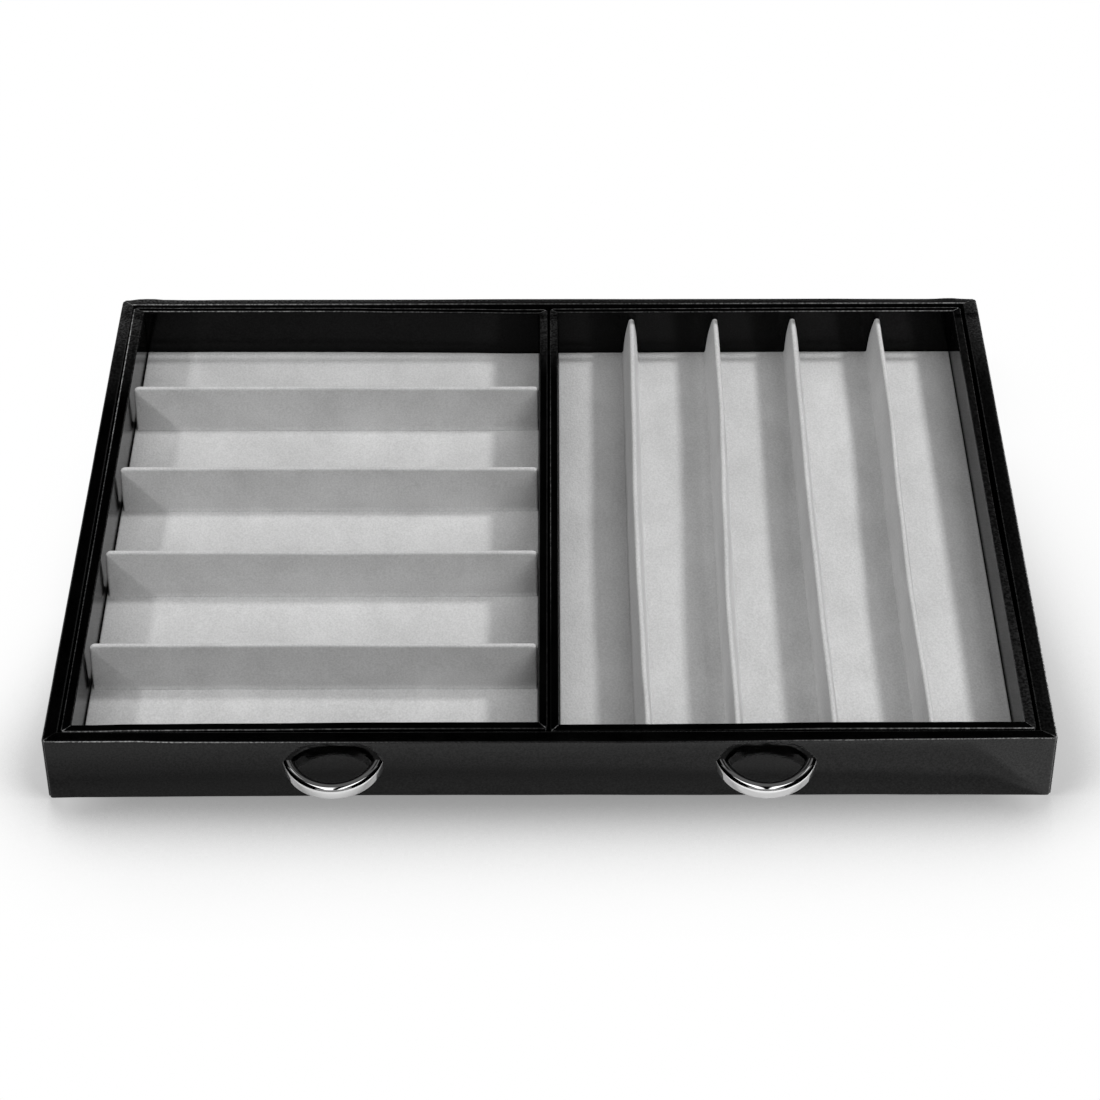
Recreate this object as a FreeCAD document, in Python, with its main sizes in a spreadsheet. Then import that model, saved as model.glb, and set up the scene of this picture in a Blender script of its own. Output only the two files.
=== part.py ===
"""A cufflink drawer: a shallow leather-wrapped drawer with two pulls and two lift-out trays.

Millimetres, +Z up. The origin is the centre of the drawer's underside, +X runs to the right
and +Y runs to the back, so the pulls are on the -Y side.
"""

import FreeCAD, Part
import math
import os

import Sketcher
from FreeCAD import Placement, Rotation, Vector

os.makedirs("parts", exist_ok=True)

doc = FreeCAD.newDocument("CufflinkDrawer")

# ---------------------------------------------------------------- driving dimensions

SIZES = [
    ("drawer_width", 400.0, "outside width of the drawer"),
    ("drawer_depth", 305.0, "outside depth of the drawer, without the pulls"),
    ("drawer_height", 30.3, "height of the rim above the surface it stands on"),
    ("wall_thickness", 5.5, "finished thickness of a drawer wall"),
    ("leather_thickness", 0.8, "leather on the drawer"),
    ("corner_radius", 2.2, "upright outer corners of the drawer"),
    ("rim_outer_radius", 1.2, "outer edge of the drawer's rim"),
    ("rim_inner_radius", 0.9, "inner edge of the drawer's rim"),
    ("sill_radius", 0.9, "bottom outer edge of the drawer"),
    ("turn_in_width", 12.0, "leather turned under the drawer, from its outside"),
    ("leather_lift", 0.2, "turned-in leather above the surface the drawer stands on"),
    ("sheet_margin", 0.5, "gap from the underside sheet to the turned-in leather"),
    ("bottom_thickness", 2.0, "bottom board of the drawer"),
    ("lining_thickness", 0.3, "lining on the drawer's floor"),
    ("tray_clearance", 1.7, "gap from a tray to the drawer's walls"),
    ("tray_spacing", 1.6, "gap between the two trays"),
    ("tray_drop", 0.9, "tray rim below the drawer's rim"),
    ("tray_wall", 3.7, "finished thickness of a tray wall"),
    ("tray_leather", 0.6, "leather on a tray"),
    ("tray_corner_radius", 1.8, "upright outer corners of a tray"),
    ("tray_rim_radius", 0.7, "edges of a tray's rim"),
    ("tray_sheet_thickness", 0.3, "backing sheet under a tray"),
    ("tray_base_thickness", 1.4, "base board of a tray"),
    ("pad_thickness", 1.8, "velour floor pad of a tray"),
    ("pad_clearance", 0.8, "gap from the pad to the tray's walls"),
    ("divider_width", 6.6, "foot of a divider"),
    ("cross_drop", 0.9, "ridge of a cross divider below the tray's rim"),
    ("long_drop", 2.7, "ridge of a lengthwise divider below the tray's rim"),
    ("divider_ridge_radius", 1.2, "rounded ridge of a divider"),
    ("divider_clearance", 0.4, "gap from a divider's end to the tray's wall"),
    ("cross_dividers", 4, "dividers across the left tray"),
    ("cross_first", 57.5, "first cross divider from the tray's back wall"),
    ("cross_pitch", 58.7, "from one cross divider to the next"),
    ("long_dividers", 4, "dividers along the right tray"),
    ("long_first", 33.3, "first lengthwise divider from the tray's left wall"),
    ("long_pitch", 38.0, "from one lengthwise divider to the next"),
    ("pull_spacing", 171.2, "from the middle of one pull to the middle of the other"),
    ("pull_level", 17.2, "middle of the pull's bar where it meets the front"),
    ("pull_inner_radius", 16.0, "inside of the bow"),
    ("pull_setback", 5.3, "centre of the bow behind the front's face"),
    ("pull_bar_width", 4.9, "bar of the pull, across the bow"),
    ("pull_bar_height", 6.8, "bar of the pull, upright"),
    ("pull_bar_rounding", 2.0, "rounded edges of the bar"),
    ("pull_droop", 9.0, "degrees by which the bow hangs down from level"),
    ("screw_radius", 1.0, "shank of a pull screw"),
    ("screw_reach", 3.0, "screw inside the pull, from the front's face"),
    ("screw_head_radius", 1.9, "head of a pull screw"),
    ("screw_head_height", 1.3, "head of a pull screw"),
    ("screw_clearance", 0.05, "radial gap round a screw"),
]

sheet = doc.addObject("Spreadsheet::Sheet", "Sizes")
for row, (alias, value, meaning) in enumerate(SIZES, start=1):
    sheet.set(f"A{row}", meaning)
    sheet.set(f"B{row}", str(value))
    sheet.setAlias(f"B{row}", alias)
doc.recompute()


def size(alias):
    """The number that a cell of the sheet holds."""
    return float(sheet.get(alias))


# Heights and half widths that several pieces share, as formulas over the sheet's cells.
HALF_WIDTH = "(Sizes.drawer_width / 2)"
HALF_DEPTH = "(Sizes.drawer_depth / 2)"
BOARD_FOOT = "(Sizes.leather_lift + Sizes.leather_thickness)"
BOTTOM_TOP = f"({BOARD_FOOT} + Sizes.bottom_thickness)"
LINING_TOP = f"({BOTTOM_TOP} + Sizes.lining_thickness)"
INNER_HALF_WIDTH = f"({HALF_WIDTH} - Sizes.wall_thickness)"
INNER_HALF_DEPTH = f"({HALF_DEPTH} - Sizes.wall_thickness)"

TRAY_WIDTH = f"({INNER_HALF_WIDTH} - Sizes.tray_clearance - Sizes.tray_spacing / 2)"
TRAY_DEPTH = f"(2 * ({INNER_HALF_DEPTH} - Sizes.tray_clearance))"
TRAY_OFFSET = f"(({TRAY_WIDTH} + Sizes.tray_spacing) / 2)"
TRAY_RIM = "(Sizes.drawer_height - Sizes.tray_drop)"
TRAY_FOOT = f"({LINING_TOP} + Sizes.tray_sheet_thickness)"
TRAY_BASE_TOP = f"({TRAY_FOOT} + Sizes.tray_base_thickness)"
PAD_TOP = f"({TRAY_BASE_TOP} + Sizes.pad_thickness)"
CROSS_RIDGE = f"({TRAY_RIM} - Sizes.cross_drop)"
LONG_RIDGE = f"({TRAY_RIM} - Sizes.long_drop)"

PULL_MIDDLE_RADIUS = "(Sizes.pull_inner_radius + Sizes.pull_bar_width / 2)"
SCREW_MIDDLE = "(Sizes.pull_setback + Sizes.screw_reach / 2)"
SCREW_CHORD = f"sqrt({PULL_MIDDLE_RADIUS} ^ 2 - {SCREW_MIDDLE} ^ 2)"
SCREW_SEAT = "(Sizes.wall_thickness - Sizes.leather_thickness - Sizes.screw_head_height)"

UPRIGHT = Vector(0, 0, 1)
SIDEWAYS = Vector(1, 0, 0)
CUT_MARGIN = 5.0  # how far a cutting solid runs past what it cuts
EDGE_TOLERANCE = 1e-4

# The four sides of a frame: the quarter turn that carries the front side onto each.
SIDES = {"front": 0, "right": 90, "back": 180, "left": 270}

sub_parts = []


# ---------------------------------------------------------------- building blocks


def bind(obj, **formulas):
    """Ties properties of an object to formulas over the sheet."""
    for name, formula in formulas.items():
        obj.setExpression(name, str(formula))


def place(obj, x="0", y="0", z="0", turn=0, axis=UPRIGHT):
    """Turns an object about an axis and ties its position to formulas."""
    obj.Placement = Placement(Vector(), Rotation(axis, turn))
    obj.setExpression("Placement.Base.x", str(x))
    obj.setExpression("Placement.Base.y", str(y))
    obj.setExpression("Placement.Base.z", str(z))


def sub_part(obj, node):
    """Names an object as one piece of the product and lists it for export."""
    obj.Label = node
    sub_parts.append(obj)
    return obj


def box(name, width, depth, height, x="0", y="0", z="0"):
    """A box centred on x and y that stands on z."""
    block = doc.addObject("Part::Box", name)
    bind(block, Length=width, Width=depth, Height=height)
    place(block, f"({x}) - ({width}) / 2", f"({y}) - ({depth}) / 2", z)
    return block


def cylinder(name, radius, length, x, y, z):
    """A cylinder that points to the back from x, y and z."""
    rod = doc.addObject("Part::Cylinder", name)
    bind(rod, Radius=radius, Height=length)
    place(rod, x, y, z, turn=-90, axis=SIDEWAYS)
    return rod


def boolean(kind, name, base, tool):
    """A Part::Cut or Part::Common of two objects."""
    result = doc.addObject(f"Part::{kind}", name)
    result.Base = base
    result.Tool = tool
    return result


def fuse(name, shapes):
    """One object made of several."""
    result = doc.addObject("Part::MultiFuse", name)
    result.Shapes = shapes
    return result


def compound(name, shapes):
    """One object that holds several solids apart."""
    result = doc.addObject("Part::Compound", name)
    result.Links = shapes
    return result


def origin_plane(body, role):
    """One of a body's own origin planes."""
    return next(plane for plane in body.Origin.OriginFeatures if plane.Role == role)


def new_sketch(body, name, role):
    """An empty sketch on one of the body's origin planes."""
    sketch = body.newObject("Sketcher::SketchObject", name)
    sketch.AttachmentSupport = (origin_plane(body, role), [""])
    sketch.MapMode = "FlatFace"
    return sketch


def tie(sketch, constraint, formula):
    """Adds a dimension to a sketch and ties it to a formula."""
    index = sketch.addConstraint(constraint)
    sketch.setExpression(f"Constraints[{index}]", formula)


def add_rectangle(sketch, width, depth, guess):
    """Draws a rectangle about the sketch's origin with its sides tied to formulas."""
    first = sketch.GeometryCount
    half_x, half_y = guess[0] / 2, guess[1] / 2
    corners = [Vector(sx * half_x, sy * half_y) for sx, sy in ((-1, -1), (1, -1), (1, 1), (-1, 1))]
    for number in range(4):
        sketch.addGeometry(Part.LineSegment(corners[number], corners[(number + 1) % 4]), False)
    for number in range(4):
        line, following = first + number, first + (number + 1) % 4
        sketch.addConstraint(Sketcher.Constraint("Coincident", line, 2, following, 1))
        direction = "Vertical" if number % 2 else "Horizontal"
        sketch.addConstraint(Sketcher.Constraint(direction, line))
    sketch.addConstraint(Sketcher.Constraint("Symmetric", first, 1, first + 1, 2, -1, 1))
    tie(sketch, Sketcher.Constraint("DistanceX", first, 1, first, 2, guess[0]), width)
    tie(sketch, Sketcher.Constraint("DistanceY", first + 1, 1, first + 1, 2, guess[1]), depth)


def edges_where(shape, test):
    """The names of the edges that pass a test."""
    return [f"Edge{number}" for number, edge in enumerate(shape.Edges, start=1) if test(edge)]


def fillet(body, name, base, edges, radius):
    """Rounds the named edges of a body's feature."""
    rounding = body.newObject("PartDesign::Fillet", name)
    rounding.Base = (base, edges)
    bind(rounding, Radius=radius)
    body.Tip = rounding
    doc.recompute()
    return rounding


# ---------------------------------------------------------------- wrapped frames


class Outline:
    """Sorts the edges of a frame or board, whose outside is a rectangle about its own origin."""

    def __init__(self, shape):
        self.limits = shape.BoundBox

    def inset(self, edge):
        """How far the middle of an edge lies in from the outside."""
        middle = edge.valueAt((edge.FirstParameter + edge.LastParameter) / 2)
        return min(self.limits.XMax - abs(middle.x), self.limits.YMax - abs(middle.y))

    def is_upright(self, edge):
        return edge.BoundBox.ZLength > EDGE_TOLERANCE

    def is_outer_corner(self, edge):
        return self.is_upright(edge) and self.inset(edge) < EDGE_TOLERANCE

    def is_level_at(self, edge, height):
        return not self.is_upright(edge) and abs(edge.BoundBox.ZMin - height) < EDGE_TOLERANCE


def frame_form(name, width, depth, foot, rim, wall, rounding, centre, turn_in=None):
    """The outer form of a leather-wrapped frame, solid through its walls.

    rounding names the sizes of the corner, outer rim, inner rim and sill radii; a frame with
    no sill radius stays square there. turn_in adds leather turned under, as wide as that size.
    """
    body = doc.addObject("PartDesign::Body", name)
    doc.recompute()
    guess = (size("drawer_width"), size("drawer_depth"))
    inner_guess = (guess[0] - 2 * size(wall), guess[1] - 2 * size(wall))

    walls = new_sketch(body, f"{name}_walls", "XY_Plane")
    add_rectangle(walls, width, depth, guess)
    add_rectangle(walls, f"{width} - 2 * Sizes.{wall}", f"{depth} - 2 * Sizes.{wall}", inner_guess)
    solid = body.newObject("PartDesign::Pad", f"{name}_pad")
    solid.Profile = walls
    bind(solid, Length=f"{rim} - {foot}")
    doc.recompute()

    if turn_in:
        fold = new_sketch(body, f"{name}_fold", "XY_Plane")
        add_rectangle(fold, width, depth, guess)
        add_rectangle(fold, f"{width} - 2 * Sizes.{turn_in}", f"{depth} - 2 * Sizes.{turn_in}",
                      inner_guess)
        solid = body.newObject("PartDesign::Pad", f"{name}_fold_pad")
        solid.Profile = fold
        bind(solid, Length="Sizes.leather_thickness")
        doc.recompute()

    outline = Outline(solid.Shape)
    top = outline.limits.ZMax
    half_wall = size(wall) / 2
    corner, rim_outside, rim_inside, sill = rounding

    def round_edges(part_name, test, radius):
        return fillet(body, f"{name}_{part_name}", solid, edges_where(solid.Shape, test), radius)

    solid = round_edges("corners", outline.is_outer_corner, f"Sizes.{corner}")
    solid = round_edges(
        "rim_outside",
        lambda edge: outline.is_level_at(edge, top) and outline.inset(edge) < half_wall,
        f"Sizes.{rim_outside}",
    )
    solid = round_edges(
        "rim_inside",
        lambda edge: outline.is_level_at(edge, top) and outline.inset(edge) > half_wall,
        f"Sizes.{rim_inside}",
    )
    if sill:
        solid = round_edges(
            "sill",
            lambda edge: outline.is_level_at(edge, 0) and outline.inset(edge) < half_wall,
            f"Sizes.{sill}",
        )
    place(body, centre, z=foot)
    return body


def board(name, width, depth, height, x="0", y="0", z="0", radius=None, corners=None):
    """A flat board that stands on z, with upright corners rounded where corners says so."""
    body = doc.addObject("PartDesign::Body", name)
    doc.recompute()
    outline_sketch = new_sketch(body, f"{name}_outline", "XY_Plane")
    add_rectangle(outline_sketch, width, depth, (size("drawer_width"), size("drawer_depth")))
    solid = body.newObject("PartDesign::Pad", f"{name}_pad")
    solid.Profile = outline_sketch
    bind(solid, Length=height)
    doc.recompute()
    if radius:
        outline = Outline(solid.Shape)

        def is_rounded(edge):
            return outline.is_outer_corner(edge) and corners(edge.BoundBox.Center)

        fillet(body, f"{name}_corners", solid, edges_where(solid.Shape, is_rounded), radius)
    place(body, x, y, z)
    return body


def mitre_wedge(name, span, reach, side, height, centre):
    """The room of one side of a frame, cut off at 45 degrees through its outer corners."""
    wedge = doc.addObject("Part::Wedge", name)
    bind(
        wedge,
        Xmin=f"-{span} / 2 - {CUT_MARGIN}",
        Xmax=f"{span} / 2 + {CUT_MARGIN}",
        X2min=f"-{span} / 2 + Sizes.turn_in_width + {CUT_MARGIN}",
        X2max=f"{span} / 2 - Sizes.turn_in_width - {CUT_MARGIN}",
        Ymin=f"-{reach} / 2 - {CUT_MARGIN}",
        Ymax=f"-{reach} / 2 + Sizes.turn_in_width + {CUT_MARGIN}",
        Zmin=0,
        Zmax=height,
        Z2min=0,
        Z2max=height,
    )
    place(wedge, centre, turn=SIDES[side])
    return wedge


def wrapped_frame(prefix, width, depth, foot, rim, wall, leather, rounding, centre,
                  board_foot, floor_board, turn_in=None, drilled=None):
    """Four boards, each wrapped in its own leather, with the leathers mitred at the corners."""
    form = frame_form(f"{prefix}_form", width, depth, foot, rim, wall, rounding, centre, turn_in)
    thickness = f"(Sizes.{wall} - 2 * Sizes.{leather})"
    board_height = f"({rim} - Sizes.{leather} - {board_foot})"
    board_radius = f"(Sizes.{rounding[0]} - Sizes.{leather})"
    across = f"({width} - 2 * Sizes.{leather})"
    along = f"({depth} - 2 * (Sizes.{wall} - Sizes.{leather}))"
    side_x = f"({width} / 2 - Sizes.{wall} / 2)"
    end_y = f"({depth} / 2 - Sizes.{wall} / 2)"

    boards = {
        "front": board(f"{prefix}_front_blank", across, thickness, board_height, centre,
                       f"-{end_y}", board_foot, board_radius, lambda middle: middle.y < 0),
        "back": board(f"{prefix}_back_blank", across, thickness, board_height, centre,
                      end_y, board_foot, board_radius, lambda middle: middle.y > 0),
        "left": board(f"{prefix}_left_blank", thickness, along, board_height,
                      f"{centre} - {side_x}", "0", board_foot),
        "right": board(f"{prefix}_right_blank", thickness, along, board_height,
                       f"{centre} + {side_x}", "0", board_foot),
    }
    core = fuse(f"{prefix}_core", [*boards.values(), floor_board])

    for side, turn in SIDES.items():
        crosswise = turn % 180 == 0
        span, reach = (width, depth) if crosswise else (depth, width)
        wedge = mitre_wedge(f"{prefix}_{side}_wedge", span, reach, side, rim, centre)
        skin = boolean("Common", f"{prefix}_{side}_skin", form, wedge)
        leather_part = boolean("Cut", f"{prefix}_{side}_leather_blank", skin, core)
        board_part = boards[side]
        if drilled and side == "front":
            leather_part = boolean("Cut", f"{prefix}_{side}_drilled_leather", leather_part, drilled)
            board_part = boolean("Cut", f"{prefix}_{side}_drilled_board", board_part, drilled)
        sub_part(leather_part, f"{prefix}_{side}_leather")
        sub_part(board_part, f"{prefix}_{side}_board")


# ---------------------------------------------------------------- pulls


def pull_ring(name):
    """The bow of a pull as a whole ring about its own upright axis."""
    body = doc.addObject("PartDesign::Body", name)
    doc.recompute()
    section = new_sketch(body, f"{name}_section", "XZ_Plane")
    middle = size("pull_inner_radius") + size("pull_bar_width") / 2
    half_width, half_height = size("pull_bar_width") / 2, size("pull_bar_height") / 2
    corners = [Vector(middle + sx * half_width, sz * half_height)
               for sx, sz in ((-1, -1), (1, -1), (1, 1), (-1, 1))]
    for number in range(4):
        section.addGeometry(Part.LineSegment(corners[number], corners[(number + 1) % 4]), False)
    for number in range(4):
        following = (number + 1) % 4
        section.addConstraint(Sketcher.Constraint("Coincident", number, 2, following, 1))
    for side, direction in ((0, "Horizontal"), (2, "Horizontal"), (3, "Vertical")):
        section.addConstraint(Sketcher.Constraint(direction, side))
    section.addConstraint(Sketcher.Constraint("Symmetric", 1, 1, 1, 2, -1))
    tie(section, Sketcher.Constraint("DistanceX", -1, 1, 0, 1, middle - half_width),
        "Sizes.pull_inner_radius")
    tie(section, Sketcher.Constraint("DistanceX", 0, 1, 0, 2, 2 * half_width),
        "Sizes.pull_bar_width")
    tie(section, Sketcher.Constraint("DistanceY", 1, 1, 1, 2, 2 * half_height),
        "Sizes.pull_bar_height")
    ring = body.newObject("PartDesign::Revolution", f"{name}_revolution")
    ring.Profile = section
    ring.ReferenceAxis = (section, ["V_Axis"])
    ring.Angle = 360.0
    doc.recompute()
    fillet(body, f"{name}_rounding", ring, edges_where(ring.Shape, lambda edge: edge.Closed),
           "Sizes.pull_bar_rounding")
    return body


def pull(side, direction):
    """A bow that grows out of the front and droops a little.

    Gives its two screws and the rooms that they take up in the front.
    """
    middle_x = f"({direction} * Sizes.pull_spacing / 2)"
    ring = pull_ring(f"{side}_pull_ring")
    place(
        ring,
        middle_x,
        f"-{HALF_DEPTH} + Sizes.pull_setback * cos(Sizes.pull_droop * 1 deg)",
        "Sizes.pull_level + Sizes.pull_setback * sin(Sizes.pull_droop * 1 deg)",
        turn=size("pull_droop"),
        axis=SIDEWAYS,
    )
    reach = f"({PULL_MIDDLE_RADIUS} + Sizes.pull_bar_width)"
    in_front = box(f"{side}_pull_room", f"2 * {reach}", reach, "Sizes.drawer_height",
                   middle_x, f"-{HALF_DEPTH} - {reach} / 2")
    bow = boolean("Common", f"{side}_pull_bow", ring, in_front)

    screws, holes, rooms = [], [], []
    level = "Sizes.pull_level - Sizes.screw_reach / 2 * tan(Sizes.pull_droop * 1 deg)"
    tip = f"-{HALF_DEPTH} - Sizes.screw_reach"
    seat = f"-{HALF_DEPTH} + {SCREW_SEAT}"
    hole_radius = "Sizes.screw_radius + Sizes.screw_clearance"
    head_room_radius = "Sizes.screw_head_radius + Sizes.screw_clearance"
    for end, sign in (("left", "-"), ("right", "+")):
        name = f"{side}_pull_{end}_screw"
        x = f"{middle_x} {sign} {SCREW_CHORD}"
        shank = cylinder(f"{name}_shank", "Sizes.screw_radius",
                         f"Sizes.screw_reach + {SCREW_SEAT} - Sizes.screw_clearance",
                         x, f"{tip} + Sizes.screw_clearance", level)
        head = cylinder(f"{name}_head", "Sizes.screw_head_radius", "Sizes.screw_head_height",
                        x, seat, level)
        screws.append(fuse(name, [shank, head]))
        shank_room = cylinder(f"{name}_shank_room", hole_radius,
                              f"Sizes.screw_reach + {SCREW_SEAT}", x, tip, level)
        head_room = cylinder(f"{name}_head_room", head_room_radius, "Sizes.wall_thickness",
                             x, seat, level)
        holes.append(shank_room)
        rooms.append(fuse(f"{name}_room", [shank_room, head_room]))
    tapped = boolean("Cut", f"{side}_pull_tapped", bow, fuse(f"{side}_pull_holes", holes))
    sub_part(tapped, f"{side}_pull")
    return screws, rooms


# ---------------------------------------------------------------- drawer


def build_drawer():
    """The drawer with its pulls: everything that stays when the trays are lifted out."""
    left_screws, left_rooms = pull("left", -1)
    right_screws, right_rooms = pull("right", 1)
    sub_part(compound("screws", left_screws + right_screws), "pull_screws")
    drilled = fuse("screw_rooms", left_rooms + right_rooms)

    clear_width = f"(2 * {INNER_HALF_WIDTH})"
    clear_depth = f"(2 * {INNER_HALF_DEPTH})"
    bottom = sub_part(
        board("bottom", f"({clear_width} + 2 * Sizes.leather_thickness)",
              f"({clear_depth} + 2 * Sizes.leather_thickness)", "Sizes.bottom_thickness",
              z=BOARD_FOOT),
        "drawer_bottom_board",
    )
    wrapped_frame(
        "drawer", "Sizes.drawer_width", "Sizes.drawer_depth", "Sizes.leather_lift",
        "Sizes.drawer_height", "wall_thickness", "leather_thickness",
        ("corner_radius", "rim_outer_radius", "rim_inner_radius", "sill_radius"),
        "0", BOARD_FOOT, bottom, turn_in="turn_in_width", drilled=drilled,
    )
    sub_part(
        board("lining", clear_width, clear_depth, "Sizes.lining_thickness", z=BOTTOM_TOP),
        "drawer_floor_lining",
    )
    window_inset = "2 * (Sizes.turn_in_width + Sizes.sheet_margin)"
    sub_part(
        board("underside", f"(Sizes.drawer_width - {window_inset})",
              f"(Sizes.drawer_depth - {window_inset})", BOARD_FOOT),
        "drawer_underside_felt",
    )


# ---------------------------------------------------------------- trays


def divider(name, length, ridge, x, y, turn):
    """A ridge with the section of a pointed arch: flanks that start upright, a rounded top."""
    body = doc.addObject("PartDesign::Body", name)
    doc.recompute()
    half = size("divider_width") / 2
    radius = size("divider_ridge_radius")
    cap_height = f"{ridge} - {PAD_TOP} - Sizes.divider_ridge_radius"
    cap_level = body.evalExpression(cap_height)
    flank_radius = (cap_level ** 2 + half ** 2 - radius ** 2) / (2 * (half - radius))
    flank_middle = Vector(half - flank_radius, 0)
    lean = math.atan2(cap_level, flank_radius - half)
    tangent_x = radius * math.cos(lean)
    tangent_y = cap_level + radius * math.sin(lean)

    profile = new_sketch(body, f"{name}_profile", "XZ_Plane")
    circle = Part.Circle(flank_middle, UPRIGHT, flank_radius)
    right_flank = profile.addGeometry(Part.ArcOfCircle(circle, 0, lean), False)
    cap_circle = Part.Circle(Vector(0, cap_level), UPRIGHT, radius)
    cap = profile.addGeometry(Part.ArcOfCircle(cap_circle, lean, math.pi - lean), False)
    circle = Part.Circle(Vector(-flank_middle.x, 0), UPRIGHT, flank_radius)
    left_flank = profile.addGeometry(Part.ArcOfCircle(circle, math.pi - lean, math.pi), False)
    foot = profile.addGeometry(Part.LineSegment(Vector(-half, 0), Vector(half, 0)), False)
    for rule in (
        ("Tangent", right_flank, 2, cap, 1),
        ("Tangent", cap, 2, left_flank, 1),
        ("Coincident", left_flank, 2, foot, 1),
        ("Coincident", foot, 2, right_flank, 1),
        ("PointOnObject", right_flank, 3, -1),
        ("PointOnObject", left_flank, 3, -1),
        ("PointOnObject", cap, 3, -2),
        ("Symmetric", foot, 1, foot, 2, -1, 1),
    ):
        profile.addConstraint(Sketcher.Constraint(*rule))
    tie(profile, Sketcher.Constraint("DistanceX", foot, 1, foot, 2, 2 * half),
        "Sizes.divider_width")
    tie(profile, Sketcher.Constraint("Radius", cap, radius), "Sizes.divider_ridge_radius")
    tie(profile, Sketcher.Constraint("DistanceY", -1, 1, cap, 3, cap_level), cap_height)
    solid = body.newObject("PartDesign::Pad", f"{name}_pad")
    solid.Profile = profile
    solid.Midplane = True
    bind(solid, Length=length)
    doc.recompute()
    place(body, x, y, PAD_TOP, turn=turn)
    return body


def build_tray(side, direction):
    """A lift-out tray: a backing sheet, a base board, four wrapped walls and a velour pad."""
    prefix = f"{side}_tray"
    centre = f"({direction} * {TRAY_OFFSET})"
    base = sub_part(
        board(f"{prefix}_base", f"({TRAY_WIDTH} - 2 * Sizes.tray_leather)",
              f"({TRAY_DEPTH} - 2 * Sizes.tray_leather)", "Sizes.tray_base_thickness",
              centre, z=TRAY_FOOT, radius="Sizes.tray_corner_radius - Sizes.tray_leather",
              corners=lambda middle: True),
        f"{prefix}_base_board",
    )
    wrapped_frame(
        prefix, TRAY_WIDTH, TRAY_DEPTH, TRAY_FOOT, TRAY_RIM, "tray_wall", "tray_leather",
        ("tray_corner_radius", "tray_rim_radius", "tray_rim_radius", None),
        centre, TRAY_BASE_TOP, base,
    )
    sub_part(
        board(f"{prefix}_sheet", TRAY_WIDTH, TRAY_DEPTH, "Sizes.tray_sheet_thickness", centre,
              z=LINING_TOP, radius="Sizes.tray_corner_radius", corners=lambda middle: True),
        f"{prefix}_underside_sheet",
    )
    pad_inset = "2 * (Sizes.tray_wall + Sizes.pad_clearance)"
    sub_part(
        board(f"{prefix}_velour", f"({TRAY_WIDTH} - {pad_inset})", f"({TRAY_DEPTH} - {pad_inset})",
              "Sizes.pad_thickness", centre, z=TRAY_BASE_TOP),
        f"{prefix}_pad",
    )
    return centre


def build_left_tray():
    """The tray with dividers from side to side, for rows of cufflinks."""
    centre = build_tray("left", -1)
    length = f"({TRAY_WIDTH} - 2 * (Sizes.tray_wall + Sizes.divider_clearance))"
    for number in range(int(size("cross_dividers"))):
        from_back = f"Sizes.cross_first + {number} * Sizes.cross_pitch"
        y = f"{TRAY_DEPTH} / 2 - Sizes.tray_wall - ({from_back})"
        sub_part(divider(f"cross_divider_{number + 1}", length, CROSS_RIDGE, centre, y, 90),
                 f"left_tray_divider_{number + 1}")


def build_right_tray():
    """The tray with dividers from front to back, for long narrow lanes."""
    centre = build_tray("right", 1)
    length = f"({TRAY_DEPTH} - 2 * (Sizes.tray_wall + Sizes.divider_clearance))"
    for number in range(int(size("long_dividers"))):
        from_left = f"Sizes.long_first + {number} * Sizes.long_pitch"
        x = f"{centre} - {TRAY_WIDTH} / 2 + Sizes.tray_wall + {from_left}"
        sub_part(divider(f"long_divider_{number + 1}", length, LONG_RIDGE, x, "0", 0),
                 f"right_tray_divider_{number + 1}")


# ---------------------------------------------------------------- build and export


def check_document():
    """Stops on any object that failed and on any sub-part that isn't a sound solid."""
    for obj in doc.Objects:
        if "Invalid" in obj.State or "Error" in obj.State:
            raise RuntimeError(f"{obj.Name} failed: {obj.State}")
    for obj in sub_parts:
        if obj.Shape.isNull() or not obj.Shape.isValid() or not obj.Shape.Solids:
            raise RuntimeError(f"{obj.Label} has no sound solid")


build_drawer()
build_left_tray()
build_right_tray()
doc.recompute()
check_document()
for piece in sub_parts:
    piece.Shape.exportStep(f"parts/{piece.Label}.step")
    print(piece.Label, len(piece.Shape.Solids), round(piece.Shape.Volume, 1))
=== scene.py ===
"""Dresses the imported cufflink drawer: leather, velour pads and dividers, chrome pulls, studio.

Everything is in metres in the frame of the CAD part: +X right, +Y to the back, +Z up, the origin
in the middle of the drawer's underside. MM turns the millimetres in the tables into metres.
"""

import math

import bpy
from mathutils import Matrix, Vector, noise


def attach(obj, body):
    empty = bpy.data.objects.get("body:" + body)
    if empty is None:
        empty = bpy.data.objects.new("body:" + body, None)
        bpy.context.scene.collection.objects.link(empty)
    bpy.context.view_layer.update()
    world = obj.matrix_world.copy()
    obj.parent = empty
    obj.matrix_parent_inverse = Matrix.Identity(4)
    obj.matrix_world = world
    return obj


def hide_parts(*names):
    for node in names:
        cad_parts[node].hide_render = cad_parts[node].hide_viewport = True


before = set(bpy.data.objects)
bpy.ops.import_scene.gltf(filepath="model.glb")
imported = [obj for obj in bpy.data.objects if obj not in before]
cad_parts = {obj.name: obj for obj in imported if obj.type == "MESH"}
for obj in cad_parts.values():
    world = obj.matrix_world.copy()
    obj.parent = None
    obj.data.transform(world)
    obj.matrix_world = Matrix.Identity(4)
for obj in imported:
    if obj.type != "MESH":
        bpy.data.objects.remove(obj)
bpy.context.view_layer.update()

MM = 0.001
scene = bpy.context.scene

# ---------------------------------------------------------------- sizes, in millimetres

WIDTH, DEPTH, HEIGHT = 400.0, 305.0, 30.3
WALL = 5.5
DRAWER_WALLS = {"front": WALL, "right": WALL + 1.25, "back": WALL, "left": WALL}
DRAWER_CORNER, DRAWER_SKIN, DRAWER_BOARD_FOOT = 2.2, 0.8, 1.0

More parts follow.
